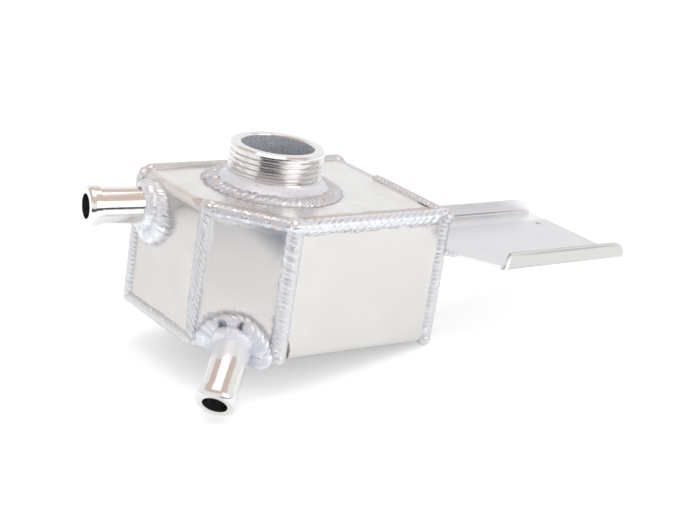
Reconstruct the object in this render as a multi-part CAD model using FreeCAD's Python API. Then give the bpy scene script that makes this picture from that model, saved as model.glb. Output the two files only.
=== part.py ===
import FreeCAD, Part
import math
import os

from FreeCAD import Vector

# Coolant expansion tank of welded aluminium sheet: a box with one corner cut off, a threaded
# filler neck, two hose tails and a folded channel bracket that carries it.
# The origin is on the axis of the filler neck, in the outer face of the top plate. +Z points
# up out of the neck, +X runs along the front wall towards the bracket, +Y points to the back.

# Tank box, outside sizes
tank_length = 134.0
tank_width = 105.0
tank_height = 76.0
sheet = 3.0
corner_cut_x = 31.5
corner_cut_y = 38.0
neck_to_side_wall = 59.0
neck_to_front_wall = 63.0
top_fold_radius = 6.0
base_fold_radius = 4.0

# Seam welds along the open corners of the sheets
seam_reach = 5.5
seam_crown = 1.4
end_seam_proud_end = 6.0
end_seam_dressed_length = 36.0

# Filler neck, a turned ring with a coarse outside thread
neck_height = 23.3
neck_diameter = 52.0
neck_bore = 40.0
thread_pitch = 3.0
thread_depth = 1.6
thread_crest = 0.7
thread_root = 0.7
thread_turns = 4
neck_rim_chamfer = 1.4
neck_bore_chamfer = 0.8
neck_weld_reach = 12.6
neck_weld_height = 4.2
neck_weld_climb = 7.0
neck_weld_collar = 3.0
neck_weld_hollow = 0.7
neck_weld_swell = 1.2

# Hose tails, two turned tubes of one size
tail_diameter = 20.0
tail_bore = 13.6
tail_lip_diameter = 22.4
tail_lip_length = 6.2
tail_lip_ramp = 0.6
tail_nose_length = 2.8
tail_nose_swell = 0.25
tail_tip_land = 3.2
weld_fit_gap = 0.1

# Side tail, on the upper back part of the side wall
side_tail_length = 37.7
side_tail_to_back_wall = 18.0
side_tail_depth = 15.5
side_tail_turn = 11.0
side_tail_drop = 1.7
side_weld_radius = 17.5
side_weld_drop = 4.7
side_weld_aside = 1.5
side_weld_height = 6.5
side_weld_swell = 1.6

# Lower tail, which leaves the foot of the cut-off corner at a slant
low_tail_length = 38.8
low_tail_above_base = 6.4
low_tail_aside = 0.9
low_tail_slant = 37.8
low_tail_turn = 2.9
low_weld_ring_radius = 15.0
low_weld_bead_radius = 8.0

# Bracket, a channel folded from thinner sheet
bracket_length = 110.0
bracket_width = 81.0
bracket_height = 10.0
bracket_sheet = 2.0
bracket_fold_radius = 3.0
bracket_web_depth = 22.2
bracket_front_offset = 31.0
bracket_flange_start = 18.0
bracket_flange_lean = 3.5
bracket_front_corner_radius = 8.0
bracket_back_corner_radius = 12.0
bracket_hole_diameter = 3.0
bracket_hole_to_end = 11.8
bracket_hole_to_flange = 21.7
bracket_bead = 4.0
bracket_bead_start = 6.5
bracket_bead_swell = 0.7
bracket_tack_length = 8.0
bracket_tack_radius = 2.6
bracket_tack_tip = 1.4

# Places that follow from the sizes
SIDE_X = -neck_to_side_wall
FRONT_Y = -neck_to_front_wall
END_X = SIDE_X + tank_length
BACK_Y = FRONT_Y + tank_width
BASE_Z = -tank_height
UP = Vector(0, 0, 1)
BIG = 3 * tank_length
SPARE = 1.0

# Plan corners of the box, outside faces, counted round from the back of the side wall
plan = [
    Vector(SIDE_X, BACK_Y, 0),
    Vector(SIDE_X, FRONT_Y + corner_cut_y, 0),
    Vector(SIDE_X + corner_cut_x, FRONT_Y, 0),
    Vector(END_X, FRONT_Y, 0),
    Vector(END_X, BACK_Y, 0),
]
SIDE_BACK, SIDE_CORNER, CORNER_FRONT, FRONT_END, END_BACK = range(5)


def edge_direction(index):
    """Unit vector along the plan edge that starts at this corner."""
    step = plan[(index + 1) % 5] - plan[index]
    return step.normalize()


def edge_normal(index):
    """Outward normal of the wall that starts at this corner."""
    along = edge_direction(index)
    return Vector(along.y, -along.x, 0)


def corner_inset(index, depth):
    """Plan corner moved inwards until it lies at this depth behind both of its walls."""
    before = edge_normal(index - 1)
    after = edge_normal(index)
    return plan[index] - (before + after) * (depth / (1 + before.dot(after)))


inner_plan = [corner_inset(index, sheet) for index in range(5)]
side_normal = edge_normal(SIDE_BACK)
corner_normal = edge_normal(SIDE_CORNER)
back_normal = edge_normal(END_BACK)


def prism(points, height):
    """Solid that stands on a flat polygon."""
    return Part.Face(Part.makePolygon(points + points[:1])).extrude(height)


def slab(low, high):
    """Box between two corners."""
    size = high - low
    return Part.makeBox(size.x, size.y, size.z, low)


def behind(point, normal):
    """Large block that fills the space on the far side of a plane."""
    block = Part.makeBox(BIG, BIG, BIG, Vector(-BIG / 2, -BIG / 2, 0))
    block.Placement = FreeCAD.Placement(point, FreeCAD.Rotation(UP, normal))
    return block


def swollen(start, end, swell):
    """Middle of an arc from start to end that stands this far to the left of its chord."""
    run = end[0] - start[0]
    rise = end[1] - start[1]
    chord = math.hypot(run, rise)
    return ((start[0] + end[0]) / 2 - swell * rise / chord,
            (start[1] + end[1]) / 2 + swell * run / chord)


def section_edges(points):
    """Edges of a closed half section in the XZ plane, from point to point.

    A point is (x, z), or (x, z, swell) where an arc leads to it."""
    edges = []
    for start, end in zip(points, points[1:] + points[:1]):
        here = Vector(start[0], 0, start[1])
        there = Vector(end[0], 0, end[1])
        if len(end) == 3:
            middle = swollen(start, end, end[2])
            edges.append(Part.Arc(here, Vector(middle[0], 0, middle[1]), there).toShape())
        else:
            edges.append(Part.LineSegment(here, there).toShape())
    return edges


def turned(points, origin, axis):
    """Turned solid of a half section, stood on this axis."""
    solid = Part.Face(Part.Wire(section_edges(points))).revolve(Vector(0, 0, 0), UP, 360)
    solid.Placement = FreeCAD.Placement(origin, FreeCAD.Rotation(UP, axis))
    return solid


def fold_section(outer_radius, to_point):
    """L section of a folded sheet, drawn with its outer corner at the origin.

    The first leg runs along +U and the second along +V, and to_point places (u, v)."""
    inner_radius = outer_radius - sheet
    leg_u = BIG
    leg_v = tank_height - sheet
    centre = outer_radius
    outer_middle = centre - outer_radius * math.sqrt(0.5)
    inner_middle = centre - inner_radius * math.sqrt(0.5)
    line = Part.LineSegment
    return Part.Face(Part.Wire([
        line(to_point(leg_u, 0), to_point(centre, 0)).toShape(),
        Part.Arc(to_point(centre, 0), to_point(outer_middle, outer_middle),
                 to_point(0, centre)).toShape(),
        line(to_point(0, centre), to_point(0, leg_v)).toShape(),
        line(to_point(0, leg_v), to_point(sheet, leg_v)).toShape(),
        line(to_point(sheet, leg_v), to_point(sheet, centre)).toShape(),
        Part.Arc(to_point(sheet, centre), to_point(inner_middle, inner_middle),
                 to_point(centre, sheet)).toShape(),
        line(to_point(centre, sheet), to_point(leg_u, sheet)).toShape(),
        line(to_point(leg_u, sheet), to_point(leg_u, 0)).toShape(),
    ]))


def folded_sheet(section, sweep, wall_index):
    """Folded sheet trimmed to the inner plan and to the length of its own wall."""
    start = inner_plan[wall_index]
    end = inner_plan[(wall_index + 1) % 5]
    outwards = edge_normal(wall_index) * (2 * sheet)
    level = Vector(0, 0, BASE_Z - sheet)
    tall = Vector(0, 0, tank_height + 2 * sheet)
    room = prism([point + level for point in inner_plan], tall)
    wall = prism([start + level, end + level, end + outwards + level,
                  start + outwards + level], tall)
    return section.extrude(sweep).common(room.fuse(wall).removeSplitter()).removeSplitter()


def make_top_and_side_sheet():
    """Top plate and side wall, one sheet with a soft fold between them."""
    section = fold_section(top_fold_radius,
                           lambda u, v: Vector(SIDE_X + u, FRONT_Y - sheet, -v))
    return folded_sheet(section, Vector(0, tank_width + 2 * sheet, 0), SIDE_BACK)


def make_front_and_base_sheet():
    """Front wall and base, one sheet with a tight fold between them."""
    section = fold_section(base_fold_radius,
                           lambda u, v: Vector(SIDE_X - sheet, FRONT_Y + u, BASE_Z + v))
    return folded_sheet(section, Vector(tank_length + 2 * sheet, 0, 0), CORNER_FRONT)


def make_wall_plate(wall_index):
    """Flat wall plate that stands between the top plate and the base, on the inner plan."""
    start = inner_plan[wall_index]
    end = inner_plan[(wall_index + 1) % 5]
    outwards = edge_normal(wall_index) * sheet
    foot = Vector(0, 0, BASE_Z + sheet)
    return prism([start + foot, end + foot, end + outwards + foot, start + outwards + foot],
                 Vector(0, 0, tank_height - 2 * sheet))


def make_back_plate():
    """Back wall, with a corner rounded to follow the fold of the side wall."""
    plate = make_wall_plate(END_BACK)
    corner = inner_plan[SIDE_BACK] - UP * sheet
    edge = min(plate.Edges, key=lambda edge: edge.CenterOfMass.distanceToPoint(corner))
    return plate.makeFillet(top_fold_radius - sheet, [edge])


def make_filler_neck():
    """Turned neck: chamfered rim, thread crests as rings, bore through to the tank."""
    outer = neck_diameter / 2
    root = outer - thread_depth
    bore = neck_bore / 2
    flank = (thread_pitch - thread_crest - thread_root) / 2
    level = neck_height - neck_rim_chamfer
    points = [
        (bore, -sheet),
        (bore, neck_height - neck_bore_chamfer),
        (bore + neck_bore_chamfer, neck_height),
        (outer - neck_rim_chamfer, neck_height),
        (outer, level),
    ]
    for _ in range(thread_turns):
        crest_end = level - thread_crest
        root_start = crest_end - flank
        root_end = root_start - thread_root
        level = root_end - flank
        points += [(outer, crest_end), (root, root_start), (root, root_end), (outer, level)]
    points.append((outer, -sheet))
    return turned(points, Vector(0, 0, 0), UP)


def make_neck_weld():
    """Broad weld round the neck: a low ring on the plate with a hollow climb up the neck."""
    outer = neck_diameter / 2
    return turned([
        (outer - weld_fit_gap, -sheet / 2),
        (outer - weld_fit_gap, neck_weld_climb),
        (outer, neck_weld_climb),
        (outer + neck_weld_collar, neck_weld_height, -neck_weld_hollow),
        (outer + neck_weld_reach, 0, neck_weld_swell),
        (outer + neck_weld_reach, -sheet / 2),
    ], Vector(0, 0, 0), UP)


def polar(bearing, rise):
    """Unit vector from a bearing in plan and a rise, both in degrees."""
    flat = math.cos(math.radians(rise))
    return Vector(flat * math.cos(math.radians(bearing)), flat * math.sin(math.radians(bearing)),
                  math.sin(math.radians(rise)))


# Side tail: where its axis meets the side wall, and which way it points
side_root = Vector(SIDE_X, BACK_Y - side_tail_to_back_wall, -side_tail_depth)
side_axis = polar(180 - side_tail_turn, -side_tail_drop)

# Lower tail: near the middle of the cut-off corner, nearly square to it in plan
corner_middle = (plan[SIDE_CORNER] + plan[CORNER_FRONT]) * 0.5
corner_bearing = math.degrees(math.atan2(corner_normal.y, corner_normal.x))
corner_foot = corner_middle + UP * BASE_Z
low_root = corner_foot + edge_direction(SIDE_CORNER) * low_tail_aside + UP * low_tail_above_base
low_axis = polar(corner_bearing + low_tail_turn, -low_tail_slant)

# The space inside the sheets, and how far a tail is drawn into it before it is cut flush
tank_room = prism([point + Vector(0, 0, BASE_Z + sheet) for point in inner_plan],
                  UP * (tank_height - 2 * sheet))
tail_inside = tail_diameter


def make_tail(root, axis, length):
    """Hose tail: plain tube, lip that holds the hose, rounded nose, flush inner end."""
    body = tail_diameter / 2
    bore = tail_bore / 2
    lip = tail_lip_diameter / 2
    lip_start = length - tail_lip_length
    return turned([
        (bore, -tail_inside),
        (bore, length),
        (bore + tail_tip_land, length),
        (lip, length - tail_nose_length, tail_nose_swell),
        (lip, lip_start),
        (body, lip_start - tail_lip_ramp),
        (body, -tail_inside),
    ], root, axis).cut(tank_room)


def tail_bar(root, axis, radius):
    """Round bar on a tail's axis, right through the wall."""
    return Part.makeCylinder(radius, 4 * tail_inside, root - axis * (2 * tail_inside), axis)


def make_side_tail_weld():
    """Fat weld round the side tail, wider below the tail and in front of it."""
    centre = side_root + edge_direction(SIDE_BACK) * side_weld_aside - UP * side_weld_drop
    return turned([
        (0, -sheet / 2),
        (0, side_weld_height),
        (tail_diameter / 2, side_weld_height),
        (side_weld_radius, 0, side_weld_swell),
        (side_weld_radius, -sheet / 2),
    ], centre, side_normal)


def seam_bead(start, end, normal_a, normal_b):
    """Weld that fills the open corner of two sheets and stands rounded over their edges.

    The line from start to end is where the outer faces of the two sheets would meet."""
    bisector = (normal_a + normal_b).normalize()
    overlap = normal_a.dot(normal_b)
    side_a = start - (normal_b - normal_a * overlap).normalize() * seam_reach
    side_b = start - (normal_a - normal_b * overlap).normalize() * seam_reach
    inner = start - (normal_a + normal_b) * (sheet / (1 + overlap))
    crown = start + bisector * seam_crown
    face = Part.Face(Part.Wire([
        Part.Arc(side_a, crown, side_b).toShape(),
        Part.LineSegment(side_b, inner).toShape(),
        Part.LineSegment(inner, side_a).toShape(),
    ]))
    return face.extrude(end - start)


def level_seam(wall_index, height, face_normal):
    """Seam along the top or the foot of one wall, mitred at both plan corners."""
    along = edge_direction(wall_index)
    lift = Vector(0, 0, height)
    start = plan[wall_index] + lift - along * seam_reach
    end = plan[(wall_index + 1) % 5] + lift + along * seam_reach
    bead = seam_bead(start, end, edge_normal(wall_index), face_normal)
    for corner, inward in ((wall_index, 1), ((wall_index + 1) % 5, -1)):
        mitre = (edge_direction(corner - 1) + edge_direction(corner)).normalize()
        bead = bead.cut(behind(plan[corner] + lift, mitre * -inward))
    return bead


def make_end_top_seam():
    """Seam along the top of the end wall, dressed flush with both sheets over its back part."""
    dressed_end = BACK_Y - end_seam_proud_end
    dressed_start = dressed_end - end_seam_dressed_length
    proud = seam_reach + seam_crown
    above = slab(Vector(END_X - proud, dressed_start, 0), Vector(END_X + proud, dressed_end, proud))
    beyond = slab(Vector(END_X, dressed_start, -proud), Vector(END_X + proud, dressed_end, proud))
    return level_seam(FRONT_END, 0, UP).cut([above, beyond])


def make_low_tail_weld():
    """Arch of weld over the lower tail, run together with the seam at the corner's foot."""
    ring = Part.makeTorus(low_weld_ring_radius, low_weld_bead_radius)
    ring.Placement = FreeCAD.Placement(corner_foot, FreeCAD.Rotation(UP, corner_normal))
    below = behind(corner_foot, UP * -1)
    inside = behind(corner_foot - corner_normal * (sheet / 2), corner_normal * -1)
    return ring.cut(below).cut(inside).fuse(level_seam(SIDE_CORNER, BASE_Z, UP * -1))


def upright_seam(corner, foot, head):
    """Seam up one plan corner of the box."""
    lower = plan[corner] + Vector(0, 0, foot)
    upper = plan[corner] + Vector(0, 0, head)
    return seam_bead(lower, upper, edge_normal(corner - 1), edge_normal(corner))


def make_back_side_seam():
    """Seam up the back of the side wall, carried round the end of the fold."""
    straight = upright_seam(SIDE_BACK, BASE_Z, -top_fold_radius)
    start = plan[SIDE_BACK] - UP * top_fold_radius
    bead = seam_bead(start, start + UP, back_normal, side_normal)
    section = min(bead.Faces, key=lambda face: face.CenterOfMass.z)
    fold_axis = start + Vector(top_fold_radius, 0, 0)
    return straight.fuse(section.revolve(fold_axis, Vector(0, 1, 0), 90))


def make_back_top_seam():
    """Seam along the top of the back wall, up to the end of the fold."""
    fold_end = Vector(SIDE_X + top_fold_radius, 0, 0)
    return level_seam(END_BACK, 0, UP).cut(behind(fold_end, Vector(-1, 0, 0)))


def beyond_fold():
    """The space outside the round of the fold, as far out as a seam's crown."""
    radius = top_fold_radius + seam_crown
    axis_point = Vector(SIDE_X + top_fold_radius, FRONT_Y, -top_fold_radius)
    corner = slab(Vector(SIDE_X - BIG, FRONT_Y, -top_fold_radius),
                  Vector(SIDE_X + top_fold_radius, inner_plan[SIDE_CORNER].y, BIG))
    return corner.cut(Part.makeCylinder(radius, tank_width, axis_point, Vector(0, 1, 0)))


# Bracket places
bracket_end = END_X + bracket_length
bracket_front = FRONT_Y - bracket_front_offset
bracket_back = bracket_front + bracket_width
web_top = -bracket_web_depth
web_base = web_top - bracket_sheet
bracket_rim = web_base + bracket_height
flange_start = END_X + bracket_flange_start


def long_low_edges(block):
    """The two long lower edges of a block that lies along X."""
    box = block.BoundBox
    return [edge for edge in block.Edges if edge.BoundBox.XLength > box.XLength / 2
            and edge.BoundBox.ZMax < box.Center.z]


def make_channel():
    """Plain channel: web and two upturned flanges, with round folds."""
    outside = slab(Vector(END_X, bracket_front, web_base),
                   Vector(bracket_end, bracket_back, bracket_rim))
    inside = slab(Vector(END_X - SPARE, bracket_front + bracket_sheet, web_top),
                  Vector(bracket_end + SPARE, bracket_back - bracket_sheet,
                         web_top + bracket_height))
    outside = outside.makeFillet(bracket_fold_radius, long_low_edges(outside))
    inside = inside.makeFillet(bracket_fold_radius - bracket_sheet, long_low_edges(inside))
    return outside.cut(inside)


def free_edge_trim():
    """What is cut away in front of the web's slanted free edge and the front flange's end."""
    low = web_base - SPARE
    outer_y = bracket_front - SPARE
    wall_y = FRONT_Y - bracket_sheet / 2
    edge = prism([
        Vector(END_X - SPARE, outer_y, low),
        Vector(flange_start, outer_y, low),
        Vector(flange_start, bracket_front + bracket_fold_radius, low),
        Vector(END_X + seam_crown, wall_y, low),
        Vector(END_X - SPARE, wall_y, low),
    ], UP * (bracket_height + 2 * SPARE))
    lean = prism([
        Vector(flange_start - SPARE, outer_y, web_top),
        Vector(flange_start, outer_y, web_top),
        Vector(flange_start + bracket_flange_lean, outer_y, bracket_rim + SPARE),
        Vector(flange_start - SPARE, outer_y, bracket_rim + SPARE),
    ], Vector(0, bracket_sheet + 2 * SPARE, 0))
    return [edge, lean]


def corner_rounding(flange_y, radius):
    """What is cut away to round the free upper corner of a flange, down to the web at most."""
    thick = bracket_sheet + 2 * SPARE
    centre = Vector(bracket_end - radius, flange_y - SPARE, bracket_rim - radius)
    lowest = Vector(centre.x, centre.y, max(centre.z, web_top))
    corner = slab(lowest, centre + Vector(radius + SPARE, thick, radius + SPARE))
    return corner.cut(Part.makeCylinder(radius, thick, centre, Vector(0, 1, 0)))


def make_bracket():
    """Channel bracket: slanted free edge, rounded flange corners, one small hole."""
    hole_place = Vector(bracket_end - bracket_hole_to_end, bracket_back - bracket_hole_to_flange,
                        web_base - SPARE)
    hole = Part.makeCylinder(bracket_hole_diameter / 2, bracket_sheet + 2 * SPARE, hole_place, UP)
    roundings = [corner_rounding(bracket_front, bracket_front_corner_radius),
                 corner_rounding(bracket_back - bracket_sheet, bracket_back_corner_radius)]
    return make_channel().cut(free_edge_trim() + roundings + [hole])


def make_bracket_weld():
    """Fillet weld with a rounded face, between the top of the web and the end wall."""
    start = Vector(END_X, FRONT_Y + bracket_bead_start, web_top)
    end = Vector(END_X, bracket_back - bracket_fold_radius, web_top)
    along_web = Vector(1, 0, 0)
    side_a = start + along_web * bracket_bead
    side_b = start + UP * bracket_bead
    middle = (side_a + side_b) * 0.5 + (along_web + UP).normalize() * bracket_bead_swell
    face = Part.Face(Part.Wire([
        Part.LineSegment(start, side_a).toShape(),
        Part.Arc(side_a, middle, side_b).toShape(),
        Part.LineSegment(side_b, start).toShape(),
    ]))
    return face.extrude(end - start)


def make_bracket_corner_weld():
    """Short tapered weld along the web's free edge, from the front corner of the tank."""
    corner = Vector(END_X, FRONT_Y - bracket_sheet / 2, web_top)
    edge_end = Vector(flange_start, bracket_front + bracket_fold_radius, web_top)
    along = (edge_end - corner).normalize()
    bead = Part.makeCone(bracket_tack_radius, bracket_tack_tip, bracket_tack_length, corner, along)
    return bead.cut(behind(Vector(0, 0, web_base), UP * -1))


def largest_solid(shape):
    """The one solid of a piece, without crumbs that a cut left beside it."""
    return max(shape.Solids, key=lambda solid: solid.Volume)


def seat(shape, others):
    """Cut a piece to fit against what was in place before it."""
    near = [other for other in others if other.BoundBox.intersect(shape.BoundBox)]
    return largest_solid(shape.cut(near)) if near else largest_solid(shape)


# The sheets, with the holes for the neck and the tails
hole_radius = tail_diameter / 2 + weld_fit_gap
side_hole = tail_bar(side_root, side_axis, hole_radius)
low_hole = tail_bar(low_root, low_axis, hole_radius)
neck_hole = Part.makeCylinder(neck_diameter / 2 + weld_fit_gap, 3 * sheet, UP * (-2 * sheet))
pieces = {
    "top_and_side_sheet": make_top_and_side_sheet().cut([neck_hole, side_hole]),
    "front_and_base_sheet": make_front_and_base_sheet().cut(low_hole),
    "corner_plate": make_wall_plate(SIDE_CORNER).cut(low_hole),
    "end_plate": make_wall_plate(FRONT_END),
    "back_plate": make_back_plate(),
    "filler_neck": make_filler_neck(),
    "side_hose_tail": make_tail(side_root, side_axis, side_tail_length),
    "lower_hose_tail": make_tail(low_root, low_axis, low_tail_length),
}

# The welds and the bracket, in the order in which each is cut to fit what is in place
round_off = beyond_fold()
fitted = {
    "side_tail_weld": make_side_tail_weld(),
    "lower_tail_weld": make_low_tail_weld(),
    "front_top_seam": level_seam(CORNER_FRONT, 0, UP),
    "corner_top_seam": level_seam(SIDE_CORNER, 0, UP).cut(round_off),
    "end_top_seam": make_end_top_seam(),
    "back_top_seam": make_back_top_seam(),
    "side_base_seam": level_seam(SIDE_BACK, BASE_Z, UP * -1),
    "end_base_seam": level_seam(FRONT_END, BASE_Z, UP * -1),
    "back_base_seam": level_seam(END_BACK, BASE_Z, UP * -1),
    "back_side_seam": make_back_side_seam(),
    "side_corner_seam": upright_seam(SIDE_CORNER, BASE_Z, 0).cut(round_off),
    "corner_front_seam": upright_seam(CORNER_FRONT, BASE_Z, 0),
    "front_end_seam": upright_seam(FRONT_END, BASE_Z, 0),
    "end_back_seam": upright_seam(END_BACK, BASE_Z, 0),
    "neck_weld": make_neck_weld(),
    "mounting_bracket": make_bracket(),
    "bracket_weld": make_bracket_weld(),
    "bracket_corner_weld": make_bracket_corner_weld(),
}
tail_rounds = [tail_bar(side_root, side_axis, tail_diameter / 2),
               tail_bar(low_root, low_axis, tail_diameter / 2)]
in_place = list(pieces.values()) + [tank_room] + tail_rounds
for name, shape in fitted.items():
    pieces[name] = seat(shape, in_place)
    in_place.append(pieces[name])

os.makedirs("parts", exist_ok=True)
for name, shape in pieces.items():
    solid = largest_solid(shape)
    solid.exportStep("parts/" + name + ".step")
    box = solid.optimalBoundingBox()
    print("%-22s valid %s volume %9.1f  x %.1f..%.1f y %.1f..%.1f z %.1f..%.1f" % (
        name, solid.isValid(), solid.Volume, box.XMin, box.XMax, box.YMin, box.YMax,
        box.ZMin, box.ZMax))
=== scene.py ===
# %% [markdown]
# # A welded aluminium coolant tank
# The part is a small expansion tank for an engine bay: five pieces of aluminium sheet, a turned
# filler neck, two hose tails and a folded bracket, all joined by hand with a TIG torch. The
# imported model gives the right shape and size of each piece. This script adds what the eye reads
# as welded metal: beads with their ripples, a real thread, brushed and heat-tinted sheet.

# %% Load the frame
import math
import random

import bpy
from mathutils import Matrix, Quaternion, Vector


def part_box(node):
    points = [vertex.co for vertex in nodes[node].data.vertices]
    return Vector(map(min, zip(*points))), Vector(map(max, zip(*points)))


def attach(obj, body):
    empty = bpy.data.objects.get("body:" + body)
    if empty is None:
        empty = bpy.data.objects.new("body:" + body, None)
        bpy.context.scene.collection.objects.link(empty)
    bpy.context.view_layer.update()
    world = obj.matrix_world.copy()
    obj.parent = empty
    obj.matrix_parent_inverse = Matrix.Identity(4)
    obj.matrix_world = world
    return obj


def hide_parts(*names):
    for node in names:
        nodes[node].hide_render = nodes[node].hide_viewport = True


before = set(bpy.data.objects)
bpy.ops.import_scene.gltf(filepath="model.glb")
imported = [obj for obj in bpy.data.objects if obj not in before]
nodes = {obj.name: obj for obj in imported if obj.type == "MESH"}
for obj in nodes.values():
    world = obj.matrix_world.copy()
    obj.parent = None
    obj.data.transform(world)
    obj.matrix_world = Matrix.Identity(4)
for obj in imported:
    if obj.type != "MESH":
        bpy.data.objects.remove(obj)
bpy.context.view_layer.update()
mm = 0.001

# %% [markdown]
# ## Places on the tank
# The tank is a box with one corner cut off. Its walls are planes, so a few plan corners place
# every seam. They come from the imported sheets' own boxes, which keeps the looks and the solids
# together when a size changes.

# %% Plan corners
sheet = 3 * mm
top_low, top_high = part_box("top_and_side_sheet")
front_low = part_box("front_and_base_sheet")[0]
side_x = top_low.x
front_y = front_low.y
end_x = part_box("end_plate")[1].x
back_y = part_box("back_plate")[1].y
top_z = top_high.z
base_z = front_low.z
cut_x = 31.5 * mm
cut_y = 38 * mm

plan = {
    "side_back": Vector((side_x, back_y, 0)),
    "side_corner": Vector((side_x, front_y + cut_y, 0)),
    "corner_front": Vector((side_x + cut_x, front_y, 0)),
    "front_end": Vector((end_x, front_y, 0)),
    "end_back": Vector((end_x, back_y, 0)),
}
up = Vector((0, 0, 1))
for name, corner in plan.items():
    print("%-12s (%.1f, %.1f) mm" % (name, corner.x / mm, corner.y / mm))


# %% Wall planes
def wall_plane(start, end):
    """Outward normal of the wall between two plan corners, and its distance from the origin."""
    along = (plan[end] - plan[start]).normalized()
    normal = Vector((along.y, -along.x, 0))
    return normal, normal.dot(plan[start])


planes = {
    "side": wall_plane("side_back", "side_corner"),
    "corner": wall_plane("side_corner", "corner_front"),
    "front": wall_plane("corner_front", "front_end"),
    "end": wall_plane("front_end", "end_back"),
    "back": wall_plane("end_back", "side_back"),
    "top": (up, top_z),
    "base": (-up, -base_z),
}
for name, (normal, distance) in planes.items():
    print("%-7s normal (%.2f, %.2f, %.2f) at %.1f mm" % ((name,) + tuple(normal) + (distance / mm,)))

# %% [markdown]
# ## Camera
# The photograph is taken from the front left, a little above the tank, with a long lens. The
# tank stands on its lower hose tail, so it leans, and the camera is rolled to match.

# %% Camera
image_width = 683
focal_px = 1642.0
camera_azimuth = math.radians(230.7)
camera_elevation = math.radians(18.27)
camera_roll = math.radians(8.88)
camera_distance = 894.6 * mm
look_at = Vector((26.9, -35.2, -30.8)) * mm

camera_data = bpy.data.cameras.new("camera")
camera_data.sensor_width = 36.0
camera_data.lens = focal_px / image_width * camera_data.sensor_width
camera = bpy.data.objects.new("camera", camera_data)
bpy.context.scene.collection.objects.link(camera)
to_camera = Vector((math.cos(camera_elevation) * math.cos(camera_azimuth),
                    math.cos(camera_elevation) * math.sin(camera_azimuth),
                    math.sin(camera_elevation)))
camera.location = look_at + to_camera * camera_distance
camera.rotation_mode = "QUATERNION"
camera.rotation_quaternion = (to_camera.to_track_quat("Z", "Y")
                              @ Quaternion((0, 0, 1), camera_roll))
bpy.context.scene.camera = camera
print("lens %.1f mm, camera at" % camera_data.lens, [round(v / mm, 1) for v in camera.location])

# %% [markdown]
# ## Helpers for materials
# Colours are written as sRGB hex, as a designer would pick them, and one function turns them to
# the linear values that the shader wants. A second function adds a node, sets its values and
# makes its links, so that each finish below stays short.


# %% Colour and node helpers
def linear(hex_colour):
    """Linear RGBA of an sRGB hex colour."""
    values = [int(hex_colour[i:i + 2], 16) / 255 for i in (1, 3, 5)]
    return tuple(v / 12.92 if v <= 0.04045 else ((v + 0.055) / 1.055) ** 2.4
                 for v in values) + (1.0,)


def add_node(tree, kind, settings=None, inputs=None):
    """New node of this kind. An input's value is a plain value or another node's output."""
    node = tree.nodes.new(kind)
    for key, value in (settings or {}).items():
        setattr(node, key, value)
    for key, value in (inputs or {}).items():
        if isinstance(value, bpy.types.NodeSocket):
            tree.links.new(value, node.inputs[key])
        else:
            node.inputs[key].default_value = value
    return node


def new_material(name):
    """Empty material with an output node, and its tree."""
    material = bpy.data.materials.new(name)
    material.use_nodes = True
    material.node_tree.nodes.clear()
    return material, material.node_tree


print("sRGB #808080 is %.3f in linear light" % linear("#808080")[0])


# %% Maths on node values
def math_node(tree, operation, *values, clamp=False):
    """Maths on one, two or three values."""
    return add_node(tree, "ShaderNodeMath", {"operation": operation, "use_clamp": clamp},
                    dict(enumerate(values))).outputs["Value"]


def fade(tree, value, start, end):
    """0 before start, 1 after end, smooth between them."""
    node = add_node(tree, "ShaderNodeMapRange", {"interpolation_type": "SMOOTHSTEP"},
                    {"Value": value, "From Min": start, "From Max": end})
    return node.outputs["Result"]


def dot_node(tree, vector, axis):
    """Length of a vector along an axis."""
    return add_node(tree, "ShaderNodeVectorMath", {"operation": "DOT_PRODUCT"},
                    {0: vector, 1: axis}).outputs["Value"]


# %% [markdown]
# ## Studio
# The photograph has a white sweep and large soft lamps. A floor could lie level under the
# box, but the real tank rests on the tip of its lower tail and on the foot of its end wall.
# So the floor is a plane through those two, and its shadow falls where the photograph has it.

# %% Floor
tail_points = [vertex.co.copy() for vertex in nodes["lower_hose_tail"].data.vertices]
rest_low, rest_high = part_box("end_base_seam")
bead_roundness = 1.5 * mm
rest_edge = Vector((rest_high.x - bead_roundness, 0, rest_low.z))
floor_tilt = max(math.atan2(rest_edge.z - p.z, rest_edge.x - p.x) for p in tail_points)
floor_up = Vector((-math.sin(floor_tilt), 0, math.cos(floor_tilt)))
floor_middle = Vector((0, -0.02, rest_edge.z - rest_edge.x * math.tan(floor_tilt)))
to_front = (to_camera - floor_up * to_camera.dot(floor_up)).normalized()
floor_front = 0.50
floor_back = 0.75
floor_half_width = 0.85
bpy.ops.object.select_all(action="DESELECT")
bpy.ops.mesh.primitive_plane_add(size=1.0)
floor = bpy.context.active_object
floor.name = "floor"
bpy.ops.object.mode_set(mode="EDIT")
bpy.ops.mesh.select_all(action="SELECT")
bpy.ops.transform.resize(value=(floor_front + floor_back, 2 * floor_half_width, 1))
bpy.ops.transform.translate(value=((floor_front - floor_back) / 2, 0, 0))
bpy.ops.object.mode_set(mode="OBJECT")
floor_turn = Matrix((to_front, floor_up.cross(to_front), floor_up)).transposed()
floor.matrix_world = Matrix.Translation(floor_middle) @ floor_turn.to_4x4()
print("floor tilt %.2f degrees" % math.degrees(floor_tilt))

# %% [markdown]
# The sweep is matt white paper. A stronger lamp would turn it white but also wash out the
# metal, so the paper has a glow of its own, which only the camera and mirrored rays see. The
# light on the tank stays as it is, and the floor keeps the tank's shadow.

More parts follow.
